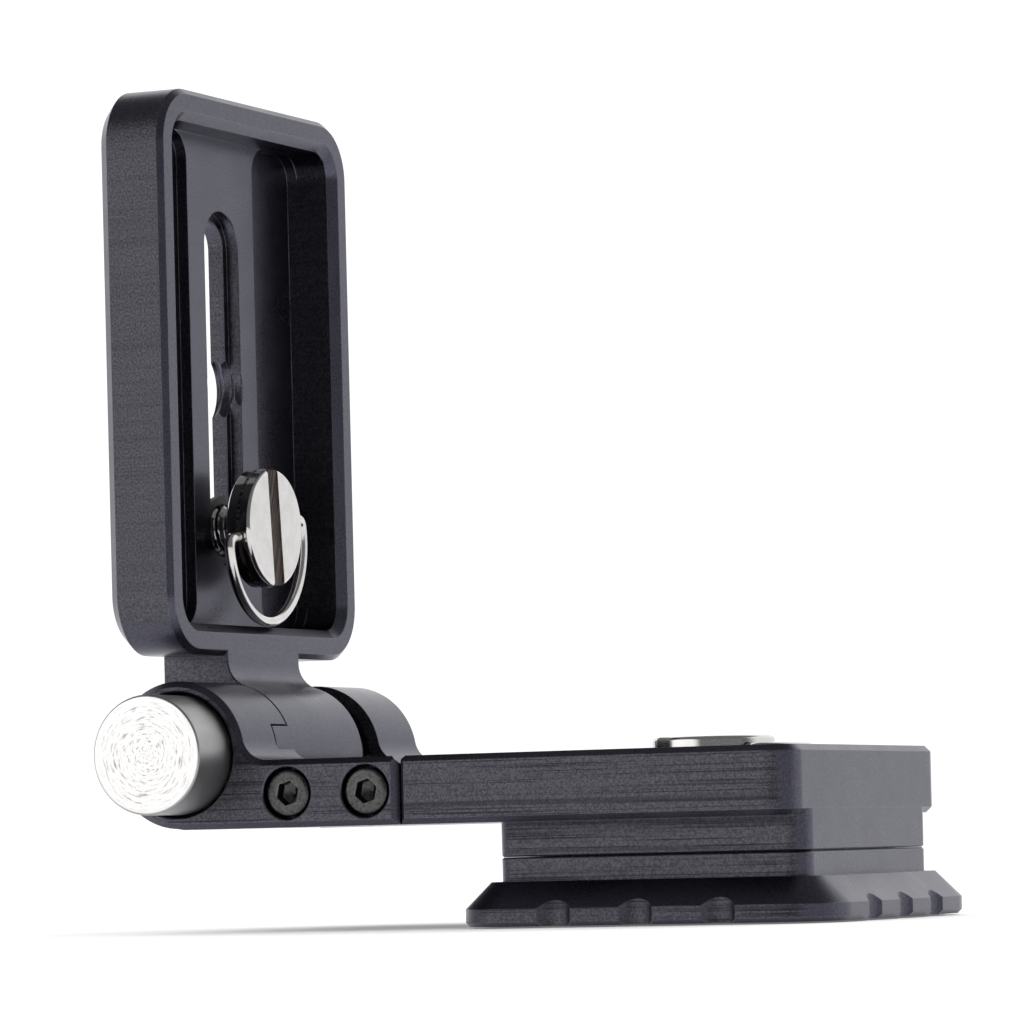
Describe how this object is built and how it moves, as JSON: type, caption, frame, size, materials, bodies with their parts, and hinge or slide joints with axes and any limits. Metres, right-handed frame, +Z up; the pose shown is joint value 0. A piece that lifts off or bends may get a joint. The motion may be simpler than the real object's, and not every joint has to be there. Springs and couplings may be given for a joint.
{
  "type": "folding swivel bracket",
  "caption": "Folding swivel bracket: a slotted tray with a captive D-ring screw stands on a push-button hinge at the end of a flat arm on a notched dovetail foot.",
  "frame": {"origin": "centre of the foot plate's flat underside", "axes": "+X along the arm, away from the hinge; +Y along the hinge axis, away from the push button; +Z up"},
  "size_m": [0.0928, 0.0569, 0.1007],
  "materials": {
    "black_anodised": "bead blasted and anodised black",
    "polished_steel": "polished",
    "turned_steel": "turned",
    "black_steel": "black oxide",
    "spring_steel": "drawn",
    "bronze": "sintered",
    "white_nylon": "matte"
  },
  "bodies": {
    "arm": {"arm_body": "black_anodised", "front_cheek": "black_anodised", "cheek_screw_1": "black_steel", "cheek_screw_2": "black_steel", "cheek_dowel_1": "spring_steel", "cheek_dowel_2": "spring_steel", "front_sleeve": "bronze", "rear_sleeve": "bronze", "hinge_end_cap": "black_anodised", "return_spring": "spring_steel", "foot_plate": "black_anodised", "foot_dowel_1": "spring_steel", "foot_dowel_2": "spring_steel"},
    "hinge_carriage": {"hinge_shaft": "turned_steel", "release_button": "turned_steel", "button_cross_pin": "spring_steel", "thrust_washer": "spring_steel"},
    "tray": {"tray": "black_anodised", "knuckle_sleeve_front": "bronze", "knuckle_sleeve_rear": "bronze"},
    "tray_screw_slider": {"tray_screw_washer": "white_nylon"},
    "tray_screw": {"tray_screw": "polished_steel"},
    "tray_screw_ring": {"tray_screw_ring": "polished_steel"},
    "arm_screw_riser": {"arm_screw_washer": "white_nylon"},
    "arm_screw": {"arm_screw": "polished_steel"},
    "arm_screw_ring": {"arm_screw_ring": "polished_steel"}
  },
  "joints": [
    {"name": "release_press", "type": "slide", "parent": "arm", "child": "hinge_carriage", "axis": [0, 1, 0], "range_m": [0, 0.0045], "stiffness_N_per_m": 1500, "springref_m": -0.003, "deforming": ["return_spring"]},
    {"name": "tray_fold", "type": "hinge", "parent": "hinge_carriage", "child": "tray", "pos_m": [-0.0588, 0, 0.021], "axis": [0, 1, 0], "range_deg": [0, 86]},
    {"name": "tray_screw_slide", "type": "slide", "parent": "tray", "child": "tray_screw_slider", "axis": [0, 0, 1], "range_m": [0, 0.0347]},
    {"name": "tray_screw_turn", "type": "hinge", "parent": "tray_screw_slider", "child": "tray_screw", "pos_m": [-0.0588, 0, 0.0489], "axis": [1, 0, 0], "continuous": true},
    {"name": "tray_ring_swing", "type": "hinge", "parent": "tray_screw", "child": "tray_screw_ring", "pos_m": [-0.05867, 0, 0.0489], "axis": [0, -0.9848, -0.1736], "range_deg": [-20, 200]},
    {"name": "arm_screw_lift", "type": "slide", "parent": "arm", "child": "arm_screw_riser", "axis": [0, 0, 1], "range_m": [0, 0.00127]},
    {"name": "arm_screw_turn", "type": "hinge", "parent": "arm_screw_riser", "child": "arm_screw", "pos_m": [0, 0, 0], "axis": [0, 0, 1], "range_deg": [0, 360]},
    {"name": "arm_ring_swing", "type": "hinge", "parent": "arm_screw", "child": "arm_screw_ring", "pos_m": [0, 0, 0.02003], "axis": [0.8241, -0.5664, 0], "range_deg": [0, 180]}
  ],
  "couplings": [
    {"joint": "arm_screw_lift", "follows": "arm_screw_turn", "m_per_rad": 0.00020213}
  ]
}
